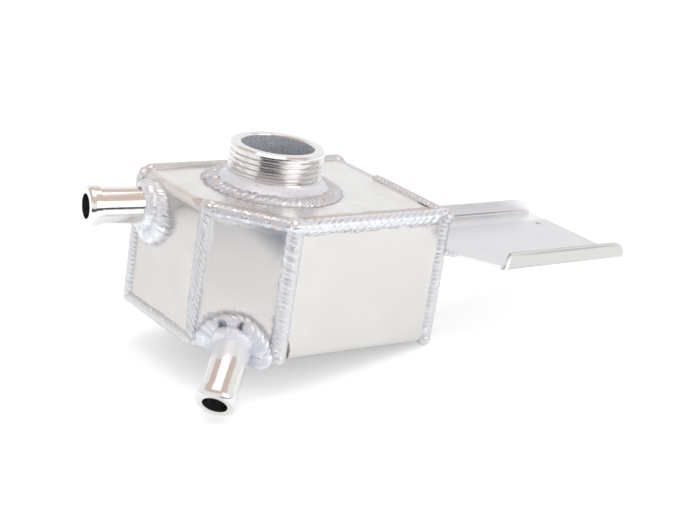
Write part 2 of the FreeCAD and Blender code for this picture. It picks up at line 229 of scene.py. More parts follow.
# %% Paper
paper_glow = 0.36
paper, tree = new_material("white_paper_sweep")
diffuse = add_node(tree, "ShaderNodeBsdfDiffuse", inputs={"Color": linear("#f4f4f3")})
light_path = add_node(tree, "ShaderNodeLightPath")
looked_at = math_node(tree, "ADD", light_path.outputs["Is Camera Ray"],
                      light_path.outputs["Is Glossy Ray"])
looked_at = math_node(tree, "ADD", looked_at, light_path.outputs["Is Transmission Ray"], clamp=True)
glow = add_node(tree, "ShaderNodeEmission", inputs={
    "Color": linear("#ffffff"), "Strength": math_node(tree, "MULTIPLY", looked_at, paper_glow)})
lit = add_node(tree, "ShaderNodeAddShader")
tree.links.new(diffuse.outputs[0], lit.inputs[0])
tree.links.new(glow.outputs[0], lit.inputs[1])
add_node(tree, "ShaderNodeOutputMaterial", inputs={"Surface": lit.outputs[0]})
floor.data.materials.append(paper)
print("floor finish:", paper.name)

# %% [markdown]
# ## The room in the metal
# Bright metal shows its surroundings, so the room matters more than the metal's own colour.
# In the photograph's reflections it is white, with a warm ceiling and one dark part low down
# on the right, behind the camera. Real walls could be built, but a few fades over the view
# direction give the same picture, and only mirrored rays see it.

# %% World
ceiling_start, ceiling_full = 0.50, 0.66
dark_full, dark_top = 0.07, 0.15
dark_facing, dark_aside = (0.10, 0.35), (-0.70, -0.55)
fill_strength = 0.8
world = bpy.data.worlds.new("white_studio")
bpy.context.scene.world = world
world.use_nodes = True
tree = world.node_tree
tree.nodes.clear()
direction = add_node(tree, "ShaderNodeTexCoord").outputs["Generated"]
height = dot_node(tree, direction, floor_up)
facing = dot_node(tree, direction, to_front)
low = math_node(tree, "SUBTRACT", 1.0, fade(tree, height, dark_full, dark_top))
aside = dot_node(tree, direction, floor_up.cross(to_front))
dark_part = math_node(tree, "MULTIPLY", fade(tree, facing, *dark_facing), low)
dark_part = math_node(tree, "MULTIPLY", dark_part, fade(tree, aside, *dark_aside))
high_part = fade(tree, height, ceiling_start, ceiling_full)
room = add_node(tree, "ShaderNodeMix", {"data_type": "RGBA"},
                {"Factor": high_part, "A": linear("#ffffff"), "B": linear("#dfcdc2")})
room_with_dark = add_node(tree, "ShaderNodeMix", {"data_type": "RGBA"},
                          {"Factor": dark_part, "A": room.outputs["Result"],
                           "B": linear("#3a404c")})
picture = add_node(tree, "ShaderNodeBackground", inputs={
    "Color": room_with_dark.outputs["Result"], "Strength": 1.0})
plain_light = add_node(tree, "ShaderNodeBackground", inputs={"Color": linear("#ffffff"),
                                                             "Strength": fill_strength})
backdrop = add_node(tree, "ShaderNodeBackground", inputs={"Color": linear("#ffffff"),
                                                          "Strength": 1.0})
light_path = add_node(tree, "ShaderNodeLightPath")
mirrored = math_node(tree, "ADD", light_path.outputs["Is Glossy Ray"],
                     light_path.outputs["Is Transmission Ray"], clamp=True)
room_or_light = add_node(tree, "ShaderNodeMixShader", inputs={
    "Fac": mirrored, 1: plain_light.outputs[0], 2: picture.outputs[0]})
everything = add_node(tree, "ShaderNodeMixShader", inputs={
    "Fac": light_path.outputs["Is Camera Ray"], 1: room_or_light.outputs[0],
    2: backdrop.outputs[0]})
add_node(tree, "ShaderNodeOutputWorld", inputs={"Surface": everything.outputs[0]})
print("world nodes:", len(tree.nodes))

# %% [markdown]
# ## Lamps
# Two square soft boxes, one overhead and one at the right, as large as the studio's own. They
# are weak, because the white room already lights the tank. They only give the contact shadow
# and the brighter streaks on the round pieces.


# %% Lamps
def soft_lamp(name, place, size, power):
    """Square soft box that faces the tank. Its size is in metres and its power in watts."""
    data = bpy.data.lights.new(name, "AREA")
    data.shape = "SQUARE"
    data.size = size
    data.energy = power
    lamp = bpy.data.objects.new(name, data)
    bpy.context.scene.collection.objects.link(lamp)
    lamp.location = place
    lamp.rotation_mode = "QUATERNION"
    lamp.rotation_quaternion = (Vector(place) - look_at).to_track_quat("Z", "Y")
    print("%-13s %.1f m wide, %.1f W" % (name, size, power))


soft_lamp("overhead_box", (-0.15, 0.05, 1.1), 0.8, 2.5)
soft_lamp("right_box", (0.28, -1.05, 0.50), 0.7, 2.2)

bpy.context.scene.view_settings.view_transform = "Standard"

# %% [markdown]
# ## Aluminium sheet
# The walls are mill-finish 5052 aluminium, wiped with an abrasive pad before welding. That
# leaves faint level scratches, a soft blurred mirror and a slightly warm grey. Beside each bead
# the arc has left a pale frosted band, and where it ends a thin dark line. On the top plate the
# heat has also left a wider straw-coloured band.


# %% Distances from a weld
bead_edge = 4.9 * mm
print("beads end %.1f mm from the next face" % (bead_edge / mm))


def band(tree, value, start, end, soft):
    """1 between start and end, with soft shoulders."""
    rise = fade(tree, value, start - soft, start)
    fall = fade(tree, value, end, end + soft)
    return math_node(tree, "SUBTRACT", rise, fall, clamp=True)


def to_wall(tree, point, wall, own_sine=1.0):
    """Metres in the sheet from the bead at this wall. own_sine tells how open the corner is."""
    normal, reach = planes[wall]
    height = math_node(tree, "SUBTRACT", reach, dot_node(tree, point, normal))
    return math_node(tree, "SUBTRACT", math_node(tree, "DIVIDE", height, own_sine), bead_edge)


def to_ring(tree, point, centre, radius):
    """Metres outside a round weld."""
    apart = add_node(tree, "ShaderNodeVectorMath", {"operation": "DISTANCE"},
                     {0: point, 1: centre}).outputs["Value"]
    return math_node(tree, "SUBTRACT", apart, radius)


# %% Noise, blended colours and stains
def stretched_noise(tree, point, size, detail=3.0, seed=(0, 0, 0)):
    """Noise whose grains have this size along X, Y and Z, in millimetres."""
    mapping = add_node(tree, "ShaderNodeMapping", inputs={
        "Vector": point, "Location": seed, "Scale": tuple(1000 / s for s in size)})
    return add_node(tree, "ShaderNodeTexNoise", inputs={
        "Vector": mapping.outputs["Vector"], "Scale": 1.0, "Detail": detail}).outputs["Fac"]


def mix_colour(tree, factor, first, second):
    """Blend of two colours. Each is a hex string or a socket."""
    values = {"Factor": factor}
    for key, colour in (("A", first), ("B", second)):
        values[key] = linear(colour) if isinstance(colour, str) else colour
    return add_node(tree, "ShaderNodeMix", {"data_type": "RGBA"}, values).outputs["Result"]


def blot(tree, point, centre, radii, grain, raggedness=0.5):
    """Soft-edged spot round a centre, 1 in the middle."""
    mapping = add_node(tree, "ShaderNodeMapping", {"vector_type": "TEXTURE"}, {
        "Vector": point, "Location": centre, "Scale": radii})
    length = add_node(tree, "ShaderNodeVectorMath", {"operation": "LENGTH"},
                      {0: mapping.outputs["Vector"]}).outputs["Value"]
    ragged = math_node(tree, "MULTIPLY_ADD", math_node(tree, "SUBTRACT", grain, 0.5), raggedness,
                       length)
    return math_node(tree, "SUBTRACT", 1.0, fade(tree, ragged, 0.55, 1.05))


# %% [markdown]
# Three things change the sheet's colour: the pad's scratches, the traces of the arc beside the
# beads, and single spots and strips, of which some are stains and others painted shade and painted
# highlight. They could be painted by hand as a picture, but measured distances to the seams follow
# the tank when its size changes. Noise makes their borders ragged.


# %% Scratches
scratch_length = 40
scratch_pitch = 0.7
print("scratches: %.0f mm long, %.1f mm apart" % (scratch_length, scratch_pitch))


def brush_lines(tree, point, flat_part):
    """Fine scratches, which run level on the walls and along X on the plates."""
    on_walls = stretched_noise(tree, point, (scratch_length, scratch_length, scratch_pitch), 1.0)
    on_plates = stretched_noise(tree, point, (scratch_length, scratch_pitch, 1000), 1.0)
    return add_node(tree, "ShaderNodeMix", {"data_type": "FLOAT"}, {
        "Factor": flat_part, "A": on_walls, "B": on_plates}).outputs["Result"]


def largest(tree, values):
    """Greatest of these values, or None where there are none."""
    result = None
    for value in values:
        result = value if result is None else math_node(tree, "MAXIMUM", result, value)
    return result


def inverse(tree, value):
    """1 minus the value."""
    return math_node(tree, "SUBTRACT", 1.0, value)


# %% Traces along the seams
def weld_traces(tree, point, flat_part, grain, edges, rings, own_sines):
    """Dark line, pale frost and straw tint beside these edges and rings, each from 0 to 1."""
    waves = stretched_noise(tree, point, (9, 9, 9), 2.0, (4, 1, 6))
    jitter = math_node(tree, "MULTIPLY_ADD", math_node(tree, "SUBTRACT", grain, 0.5), 3.5 * mm,
                       math_node(tree, "MULTIPLY", math_node(tree, "SUBTRACT", waves, 0.5),
                                 5 * mm))
    broken = math_node(tree, "MULTIPLY_ADD", fade(tree, grain, 0.38, 0.62), 0.75, 0.25)
    dark, frost, straw = [], [], []
    for wall, line_at, strength, straw_width in edges:
        sine = own_sines.get(wall, 1.0)
        if sine == "by_fold":
            corner_sine = planes["side"][0].cross(planes[wall][0]).length
            sine = math_node(tree, "MULTIPLY_ADD", flat_part, 1 - corner_sine, corner_sine)
        away = math_node(tree, "ADD", to_wall(tree, point, wall, sine), jitter)
        on_wall, on_plate = line_at if isinstance(line_at, tuple) else (line_at, line_at)
        place = math_node(tree, "MULTIPLY_ADD", flat_part, (on_plate - on_wall) * mm, on_wall * mm)
        beyond = math_node(tree, "SUBTRACT", away, place)
        line = band(tree, beyond, -0.25 * mm, 0.25 * mm, 0.5 * mm)
        dark.append(math_node(tree, "MULTIPLY", math_node(tree, "MULTIPLY", line, broken),
                              strength))
        frost.append(inverse(tree, fade(tree, beyond, 0.2 * mm, 2.2 * mm)))
        if straw_width:
            warm = inverse(tree, fade(tree, away, (straw_width - 1.5) * mm, straw_width * mm))
            straw.append(math_node(tree, "MULTIPLY", warm, flat_part))
    for centre, radius, strength in rings:
        away = math_node(tree, "ADD", to_ring(tree, point, centre, radius), jitter)
        dark.append(math_node(tree, "MULTIPLY", band(tree, away, -0.4 * mm, 0.4 * mm, 0.8 * mm),
                              strength))
        frost.append(inverse(tree, fade(tree, away, 0.5 * mm, 2.5 * mm)))
    return largest(tree, dark), largest(tree, frost), largest(tree, straw)


# %% Stains, painted strips and the painted corner shade
def with_spots_and_painted_light(tree, point, base, grain, stains_and_shade_spots, painted_light_strips):
    """Base colour with round spots over it, stains and painted shade among them, and straight strips
    of painted shade and painted highlight.
    """
    for centre, radii, colour, strength in stains_and_shade_spots:
        spot = blot(tree, point, centre, radii, grain)
        base = mix_colour(tree, math_node(tree, "MULTIPLY", spot, strength), base, colour)
    for normal, middle, half, soft, colour, strength in painted_light_strips:
        inside = band(tree, dot_node(tree, point, normal), (middle - half) * mm,
                      (middle + half) * mm, soft * mm)
        base = mix_colour(tree, math_node(tree, "MULTIPLY", inside, strength), base, colour)
    return base


def with_painted_corner_shade(tree, point, base):
    """Lighter upper part, and blue-grey painted shade at the top right of the cut-off corner."""
    from_middle = add_node(tree, "ShaderNodeVectorMath", {"operation": "SUBTRACT"},
                           {0: point, 1: corner_middle}).outputs["Vector"]
    along = dot_node(tree, from_middle, corner_along)
    level = add_node(tree, "ShaderNodeSeparateXYZ", inputs={"Vector": point}).outputs["Z"]
    wiped = math_node(tree, "MULTIPLY", fade(tree, level, -45 * mm, -8 * mm), 0.6)
    base = mix_colour(tree, wiped, base, "#f6f4f3")
    slope = math_node(tree, "MULTIPLY_ADD", along, 0.7, level)
    # painted shade: blue-grey darkening at the top right, below the corner where three beads meet
    shadow = math_node(tree, "MULTIPLY", fade(tree, slope, -13 * mm, 5 * mm), 0.72)
    return mix_colour(tree, shadow, base, "#878c9a")


# %% Metal surface
def relief(tree, height, strength, depth):
    """Bump of this strength and depth."""
    return add_node(tree, "ShaderNodeBump", inputs={"Strength": strength, "Distance": depth,
                                                    "Height": height}).outputs["Normal"]


def metal_surface(tree, colour, metallic, roughness, normal):
    """Principled metal, linked to the material's output."""
    metal = add_node(tree, "ShaderNodeBsdfPrincipled", inputs={
        "Base Color": colour, "Metallic": metallic, "Roughness": roughness, "Normal": normal})
    add_node(tree, "ShaderNodeOutputMaterial", inputs={"Surface": metal.outputs["BSDF"]})


# %% Brushed sheet
def brushed_sheet(name, edges, rings=(), stains_and_shade_spots=(), lit_plate_tone="#e9e8e7", shaded_wall_tone="#d3d1cf",
                  own_sines=None, painted_corner_shade=False, grooves=0.04, mirror=0.24, painted_light_strips=()):
    """Pad-wiped aluminium sheet with the traces of the welds at these places.

    Each edge is (wall, place of the dark line, its strength, width of the straw band) in mm."""
    material, tree = new_material(name)
    point = add_node(tree, "ShaderNodeTexCoord").outputs["Object"]
    normal = add_node(tree, "ShaderNodeNewGeometry").outputs["Normal"]
    upward = add_node(tree, "ShaderNodeSeparateXYZ", inputs={"Vector": normal}).outputs["Z"]
    flat_part = fade(tree, math_node(tree, "ABSOLUTE", upward), 0.3, 0.8)
    scratches = brush_lines(tree, point, flat_part)
    clouds = stretched_noise(tree, point, (22, 22, 22), 4.0)
    grain = stretched_noise(tree, point, (1.3, 1.3, 1.3), 3.0)
    fine_grain = stretched_noise(tree, point, (0.5, 0.5, 0.5), 2.0)
    dark, frost, straw = weld_traces(tree, point, flat_part, grain, edges, rings, own_sines or {})

    # Painted light: the upright walls get a darker grey than the level plates of the same sheet, a
    # painted shade by facing.
    base = mix_colour(tree, flat_part, shaded_wall_tone, lit_plate_tone)
    cloudy = math_node(tree, "MULTIPLY", fade(tree, clouds, 0.4, 0.7), 0.5)
    base = mix_colour(tree, cloudy, base, "#d9d7d4")
    base = mix_colour(tree, math_node(tree, "MULTIPLY", fade(tree, scratches, 0.45, 0.75),
                                      grooves * 2), base, "#c9c7c4")
    base = mix_colour(tree, math_node(tree, "MULTIPLY", frost, 0.7), base, "#dddce1")
    if straw is not None:
        base = mix_colour(tree, math_node(tree, "MULTIPLY", straw, 0.55), base, "#cdb3a2")
    base = mix_colour(tree, math_node(tree, "MULTIPLY", dark, 0.85), base, "#7d6f62")
    base = with_spots_and_painted_light(tree, point, base, grain, stains_and_shade_spots, painted_light_strips)
    if painted_corner_shade:
        base = with_painted_corner_shade(tree, point, base)

    roughness = math_node(tree, "MULTIPLY_ADD", scratches, grooves,
                          math_node(tree, "MULTIPLY_ADD", frost, 0.20, mirror))
    height = math_node(tree, "MULTIPLY_ADD", math_node(tree, "MULTIPLY", fine_grain, frost), 1.2,
                       math_node(tree, "MULTIPLY", scratches, grooves * 3))
    metal_surface(tree, base, 1.0, roughness, relief(tree, height, 0.30, 0.03 * mm))
    return material


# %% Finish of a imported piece
def finish_node(node_name, *materials):
    """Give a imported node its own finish."""
    slots = nodes[node_name].data.materials
    slots.clear()
    for material in materials:
        slots.append(material)
    print("%-21s" % node_name, *[material.name for material in materials])


# %% [markdown]
# ## Places of the round welds
# The stains and frosted rings lie round the neck and the two tails, so their centres are
# needed before the finishes. A corner that isn't square widens the bead on the sheet, and the
# sine of its angle tells by how much.

# %% Places
corner_middle = (plan["side_corner"] + plan["corner_front"]) / 2
corner_along = (plan["corner_front"] - plan["side_corner"]).normalized()
corner_out = planes["corner"][0]
neck_ring = (Vector((0, 0, 0)), 38.4 * mm, 0.5)
side_tail_root = Vector((side_x, 24 * mm, -15.5 * mm))
side_tail_centre = Vector((side_x, 22.5 * mm, -20.2 * mm))
side_tail_ring = (side_tail_centre, 17.2 * mm, 0.15)
low_tail_centre = Vector((corner_middle.x, corner_middle.y, base_z))
low_tail_root = low_tail_centre + Vector((0, 0, 6.4 * mm))
low_tail_ring = (low_tail_centre, 22.8 * mm, 0.35)
corner_front_sine = corner_out.cross(planes["front"][0]).length
side_corner_sine = corner_out.cross(planes["side"][0]).length
print("corner sines %.2f and %.2f" % (side_corner_sine, corner_front_sine))

# %% [markdown]
# ## Top plate and side wall
# One folded sheet. The top plate mirrors the white ceiling and shows a straw-coloured heat
# band along the front and the cut-off corner. Two dark places lie beside the end wall's seam,
# where its proud part stops. The finish gives a soft, almost white mirror.

# %% Finish of the top plate and side wall
seam_step = (Vector((70.5, -7, 0)) * mm, (1.6 * mm, 8 * mm, 3 * mm), "#4b5058", 0.8)
seam_pit = (Vector((69.0, -47, 0)) * mm, (2.0 * mm, 6 * mm, 3 * mm), "#3f3d3b", 0.9)
finish_node("top_and_side_sheet", brushed_sheet(
    "pad_wiped_aluminium_top", [
        ("back", 0.2, 0.45, 0), ("corner", (-0.9, 5.6), 0.55, 5.8), ("front", 6.4, 0.45, 6.6),
        ("end", -0.3, 0.2, 0), ("base", 0.1, 0.5, 0)],
    [neck_ring, side_tail_ring], [seam_step, seam_pit], shaded_wall_tone="#cecac8",
    own_sines={"corner": "by_fold"}))

# %% [markdown]
# ## Front wall and base
# The front wall is the calmest face: almost no scratches, a warm grey, and a brown burn at its
# lower left corner. A thin dark strip at the foot stands for the shadow in the tight fold.

# %% Finish of the front wall and base
burnt_foot = (Vector((-22.6, -63, -71)) * mm, (2.6 * mm, 5 * mm, 8.5 * mm), "#5d4c3c", 0.85)
finish_node("front_and_base_sheet", brushed_sheet(
    "pad_wiped_aluminium_front", [
        ("corner", 0.3, 0.25, 0), ("top", 0.8, 0.7, 0), ("end", 0.2, 0.25, 0),
        ("side", 0.0, 0.3, 0), ("back", 0.0, 0.3, 0)],
    [], [burnt_foot], own_sines={"corner": corner_front_sine}, grooves=0.015, mirror=0.18,
    painted_light_strips=[((0, 0, 1), -75.6, 0.7, 0.4, "#77777a", 0.8)]))

# %% [markdown]
# ## Wall of the cut-off corner
# Its scratches show more than those of the other walls. Its upper part is lighter, and a blue-grey
# painted shade lies below the corner where three beads meet.

# %% Finish of the corner plate
finish_node("corner_plate", brushed_sheet(
    "pad_wiped_aluminium_corner", [
        ("side", -0.9, 0.4, 0), ("front", 0.0, 0.95, 0), ("top", 0.4, 0.25, 0),
        ("base", 0.0, 0.2, 0)],
    [low_tail_ring], shaded_wall_tone="#d8d4d2", grooves=0.05,
    own_sines={"side": side_corner_sine, "front": corner_front_sine}, painted_corner_shade=True))

# %% [markdown]
# ## End wall and back wall
# The photograph hides both, so they get the plain finish with frost beside each bead.

# %% Finish of the hidden walls
for node_name in ("end_plate", "back_plate"):
    other_walls = {"end_plate": ("front", "back"), "back_plate": ("side", "end")}[node_name]
    finish_node(node_name, brushed_sheet(
        "pad_wiped_aluminium_" + node_name,
        [(wall, 0.1, 0.5, 0) for wall in other_walls + ("top", "base")]))

# %% [markdown]
# ## Bracket
# The bracket is brighter rolled sheet, cut with shears. Strips of white are painted highlights on
# its cut edge and along its back fold, and two thin dark marks are painted shade in that fold and
# along the front flange's rim. The dark line beside the end wall's bead is painted shade in the
# gap between bead and bracket. A soft grey patch lies on the front flange and a white patch beside
# its weld. The edges could be bevelled faces, but at 2 mm of sheet a painted highlight looks the
# same.

# %% Finish of the bracket
front_flange_grey_patch = (Vector((130, -94, -19)) * mm, (95 * mm, 4 * mm, 12 * mm), "#c4c3bf", 0.75)
bracket_weld_white_patch = (Vector((76, -40, -22)) * mm, (6 * mm, 30 * mm, 3 * mm), "#ffffff", 0.8)
# painted shade: thin dark marks in the back flange's fold and along the front flange's rim
flange_fold_shade = (Vector((130, -15.2, -20.9)) * mm, (60 * mm, 1.3 * mm, 0.7 * mm), "#77777c", 0.7)
flange_rim_shade = (Vector((140, -94, -15.3)) * mm, (52 * mm, 2.5 * mm, 0.8 * mm), "#93938f", 0.6)
# painted shade: the dark line beside the end wall's bead, in the gap between bead and bracket
finish_node("mounting_bracket", brushed_sheet(
    "bright_rolled_aluminium", [("end", 1.0, 0.3, 0)], [],
    [front_flange_grey_patch, bracket_weld_white_patch, flange_fold_shade, flange_rim_shade],
    lit_plate_tone="#f0f1f1", shaded_wall_tone="#eeedec", grooves=0.03, mirror=0.10, painted_light_strips=[
        # painted highlights: white on the cut edge and along the back fold
        ((-0.852, -0.524, 0), -31.5, 0.7, 0.3, "#ffffff", 1.0),
        ((0, 1, 0), -22.5, 4.5, 4.0, "#fbfbfd", 0.7),
        ((0, 1, 0), -16.7, 0.8, 0.4, "#ffffff", 1.0)]))

# %% [markdown]
# ## Weld metal
# A TIG bead is a row of small pools that froze one after the other, so it looks like a stack of
# coins lying over. The metal is bright where it is clean and frosted white or lavender grey
# where the arc's cleaning action reached. Dirt and shadow sit in the valleys. One function
# makes all its kinds, because they differ only in how clean, frosted and tinted they are.


# %% Smoke on the arch
def on_arch(angle, radius, out):
    """Point on the arch over the lower tail. The angle in degrees starts at the left."""
    angle = math.radians(angle)
    return (low_tail_centre + (up * math.sin(angle) - corner_along * math.cos(angle)) * radius * mm
            + corner_out * out * mm)


arch_smoke = [(on_arch(62, 17.0, 6.5), (4.2 * mm, 4.2 * mm, 4.6 * mm), corner_along * -2.6 * mm),
              (on_arch(68, 17.0, 6.5), (4.2 * mm, 4.2 * mm, 4.8 * mm), corner_along * -1.6 * mm),
              (on_arch(104, 18.0, 6.5), (4.0 * mm, 4.0 * mm, 4.2 * mm), corner_along * 3.0 * mm)]
print("smoke marks on the arch:", len(arch_smoke))


# %% Weld metal
def weld_metal(name, clean, frost, frosted_share, valley="#8f9098", rough=0.18, frost_rough=0.42,
               straw_share=0.0, sparkle=0.5, chalk=0.2, smoke=()):
    """Cast aluminium with dark valleys between the ripples and frosted, speckled patches."""
    material, tree = new_material(name)
    point = add_node(tree, "ShaderNodeTexCoord").outputs["Object"]
    edge = add_node(tree, "ShaderNodeNewGeometry").outputs["Pointiness"]
    valleys = math_node(tree, "SUBTRACT", 1.0, fade(tree, edge, 0.43, 0.50))
    patches = stretched_noise(tree, point, (5, 5, 5), 4.0)
    tint_patches = stretched_noise(tree, point, (7, 7, 7), 2.0, (3, 5, 1))
    grain = stretched_noise(tree, point, (0.9, 0.9, 0.9), 3.0)
    specks = fade(tree, stretched_noise(tree, point, (1.1, 1.1, 1.1), 2.0, (2, 7, 3)), 0.60, 0.70)
    frosty = fade(tree, patches, 0.62 - 0.35 * frosted_share, 0.72 - 0.35 * frosted_share)
    colour = mix_colour(tree, frosty, clean, frost)
    if straw_share:
        tinted = math_node(tree, "MULTIPLY", fade(tree, tint_patches, 0.5, 0.62), straw_share)
        colour = mix_colour(tree, tinted, colour, "#dacbc6")
    colour = mix_colour(tree, math_node(tree, "MULTIPLY", specks, 0.5 * sparkle), colour, "#8d8a88")
    colour = mix_colour(tree, math_node(tree, "MULTIPLY", valleys, 0.65), colour, valley)
    for centre, radii, shift in smoke:
        spot = blot(tree, point, centre, radii, patches, 0.7)
        clear = inverse(tree, blot(tree, point, centre + shift, radii, patches, 0.7))
        crescent = math_node(tree, "MULTIPLY", spot, clear)
        colour = mix_colour(tree, math_node(tree, "MULTIPLY", crescent, 0.9), colour, "#39435a")
    roughness = math_node(tree, "MULTIPLY_ADD", frosty, frost_rough - rough, rough)
    strength = math_node(tree, "MULTIPLY_ADD", frosty, 0.8 * sparkle, 0.2 * sparkle)
    metallic = math_node(tree, "MULTIPLY_ADD", frosty, -chalk, 1.0)
    metal_surface(tree, colour, metallic, roughness, relief(tree, grain, strength, 0.25 * mm))
    print("weld metal:", name)
    return material


# %% Kinds of weld metal
# clean and shiny, with sharp white glints: the rope along the front
bright_weld = weld_metal("bright_tig_weld", "#e8ebf3", "#e2e5ec", 0.6, rough=0.16,
                         frost_rough=0.34, sparkle=0.45)
# light grey and dull, as most of the seams
frosted_weld = weld_metal("frosted_tig_weld", "#e0e1e4", "#d8d9dc", 0.9, valley="#85858c",
                          rough=0.24, frost_rough=0.38, sparkle=0.7, chalk=0.12)
# bluish, with dark crescents of smoke: the arch over the lower tail
coin_weld = weld_metal("coin_tig_weld", "#e2e7f1", "#dde0e8", 0.8, valley="#5c6680",
                       rough=0.14, frost_rough=0.42, sparkle=0.5, chalk=0.15, smoke=arch_smoke)
# white and grainy, where the arc cleaned longest: collar and toe
collar_weld = weld_metal("collar_tig_weld", "#e9ebf3", "#e4e6ee", 0.95, valley="#9a9ca6",
                         rough=0.32, frost_rough=0.46, sparkle=1.0, chalk=0.35)
# white with soft glints: the weld round the side tail
pale_weld = weld_metal("pale_frosted_tig_weld", "#eaecf1", "#e4e6eb", 0.8, valley="#9a9ca6",
                       rough=0.20, frost_rough=0.38, sparkle=0.5, chalk=0.25)
# straw and lilac patches from the heat: neck and corner
tinted_weld = weld_metal("straw_tinted_tig_weld", "#d9dce4", "#d2d4da", 0.7, valley="#77747e",
                         rough=0.18, frost_rough=0.40, straw_share=0.6, sparkle=0.7)

# %% [markdown]
# ## Turned aluminium
# The neck and the hose tails are turned on a lathe and left bright. A tube of this kind works
# as a curved mirror, so most of what is seen on it is the room: white walls, the dark part
# behind the camera and the warm ceiling. Near its weld a tail is frosted. The turning marks
# are too fine for geometry, so they only vary the roughness.


# %% Turned metal
def turned_metal(name, colour="#efeeee", roughness=0.10, frost_centre=None, frost_reach=0.0,
                 stain=None):
    """Bright turned aluminium, frosted round a weld."""
    material, tree = new_material(name)
    point = add_node(tree, "ShaderNodeTexCoord").outputs["Object"]
    marks = stretched_noise(tree, point, (9, 9, 9))
    grain = stretched_noise(tree, point, (0.5, 0.5, 0.5), 2.0)
    ragged = stretched_noise(tree, point, (3, 3, 3))
    rough = math_node(tree, "MULTIPLY_ADD", marks, 0.10, roughness)
    base = mix_colour(tree, marks, colour, "#e6e5e4")
    height = math_node(tree, "MULTIPLY", grain, 0.05)
    metallic = 1.0
    if frost_centre is not None:
        apart = to_ring(tree, point, frost_centre, frost_reach)
        apart = math_node(tree, "MULTIPLY_ADD", math_node(tree, "SUBTRACT", ragged, 0.5), 12 * mm,
                          apart)
        frosty = inverse(tree, fade(tree, apart, -1 * mm, 2.5 * mm))
        base = mix_colour(tree, frosty, base, "#e2e4e8")
        metallic = math_node(tree, "MULTIPLY_ADD", frosty, -0.5, 1.0)
        rough = math_node(tree, "MULTIPLY_ADD", frosty, 0.35, rough)
        height = math_node(tree, "MULTIPLY_ADD", math_node(tree, "MULTIPLY", grain, frosty), 1.0,
                           height)
    if stain is not None:
        centre, radii, stain_colour, strength = stain
        spot = blot(tree, point, centre, radii, ragged)
        base = mix_colour(tree, math_node(tree, "MULTIPLY", spot, strength), base, stain_colour)
    metal_surface(tree, base, metallic, rough, relief(tree, height, 0.4, 0.05 * mm))
    return material


# %% Finishes of the turned pieces
lathe_finish = turned_metal("bright_turned_aluminium", "#e9e8e8")
side_tail_burn = (Vector((-66.5, 24, -5.8)) * mm, (4 * mm, 4 * mm, 2.5 * mm), "#6b4a38", 0.8)
finish_node("side_hose_tail", turned_metal(
    "turned_aluminium_side_tail", frost_centre=side_tail_root, frost_reach=9 * mm,
    stain=side_tail_burn))
finish_node("lower_hose_tail", turned_metal(
    "turned_aluminium_lower_tail", "#e3e1e0", frost_centre=low_tail_root,
    frost_reach=17 * mm))

# %% [markdown]
# The inside of the neck is a dull, finely pitted grey. A mirror finish would show the white
# room in it, so it is only part metal and very rough, and the bore's own shade does the rest.


# %% Finish of the neck's bore
def bored_metal(name):
    """Grey, finely pitted inside of the neck, which holds no mirror image."""
    material, tree = new_material(name)
    point = add_node(tree, "ShaderNodeTexCoord").outputs["Object"]
    grain = stretched_noise(tree, point, (0.9, 0.9, 0.9), 3.0)
    colour = mix_colour(tree, fade(tree, grain, 0.35, 0.65), "#d6d9df", "#b1b5bf")
    surface = add_node(tree, "ShaderNodeBsdfPrincipled", inputs={
        "Base Color": colour, "Metallic": 0.35, "Roughness": 0.65})
    add_node(tree, "ShaderNodeOutputMaterial", inputs={"Surface": surface.outputs["BSDF"]})
    return material


bore_finish = bored_metal("pitted_grey_bore")
print("bore finish:", bore_finish.name)

# %% [markdown]
# ## Filler neck
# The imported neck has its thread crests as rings. The real neck has one ridge that climbs as a
# helix. Here the ring is spun from its half section, and the ridge is a trapezoid wound up by a
# Screw modifier. Its two ends run into the plain lands above and below the thread.


# %% Spinning a closed half section
def spin_section(name, profile, segments=128):
    """Closed ring turned about the Z axis from (radius, height) points in mm."""
    bpy.ops.object.select_all(action="DESELECT")
    bpy.ops.mesh.primitive_circle_add(vertices=len(profile), radius=mm)
    ring = bpy.context.active_object
    ring.name = name
    for vertex, (radius, height) in zip(ring.data.vertices, profile):
        vertex.co = (radius * mm, 0, height * mm)
    bpy.ops.object.mode_set(mode="EDIT")
    bpy.ops.mesh.select_all(action="SELECT")
    bpy.ops.mesh.spin(steps=segments, angle=2 * math.pi, center=(0, 0, 0), axis=(0, 0, 1))
    bpy.ops.mesh.select_all(action="SELECT")
    bpy.ops.mesh.remove_doubles(threshold=0.002 * mm)
    bpy.ops.mesh.normals_make_consistent(inside=False)
    bpy.ops.object.mode_set(mode="OBJECT")
    return ring


# %% Neck body
neck_radius = 26.0
bore_radius = 20.0
rim_chamfer = 1.4
inside_depth = 3.0
neck_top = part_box("filler_neck")[1].z / mm
thread_pitch = 3.0
thread_turns = 4.75
thread_root = 24.4
thread_top = neck_top - rim_chamfer - 0.15
thread_foot = thread_top - thread_pitch * thread_turns
neck = spin_section("filler_neck_threaded", [
    (bore_radius, -inside_depth), (bore_radius, neck_top - 0.8), (20.25, neck_top - 0.3),
    (20.8, neck_top), (24.5, neck_top), (24.9, neck_top - 0.12),
    (neck_radius - 0.1, neck_top - 1.1), (neck_radius, neck_top - rim_chamfer),
    (neck_radius, thread_top - 0.35), (thread_root, thread_top - 1.15),
    (thread_root, thread_foot + 1.15), (neck_radius, thread_foot + 0.35),
    (neck_radius, -inside_depth)])
print("neck %.1f mm high, thread from %.1f to %.1f mm" % (neck_top, thread_foot, thread_top))

# %% [markdown]
# The ridge of the thread is a trapezoid, narrow at its crest. A Screw modifier winds it up by
# one pitch in each turn. Rings would be simpler, but a real thread is seen to climb, and its
# two ends run out at different sides of the neck.

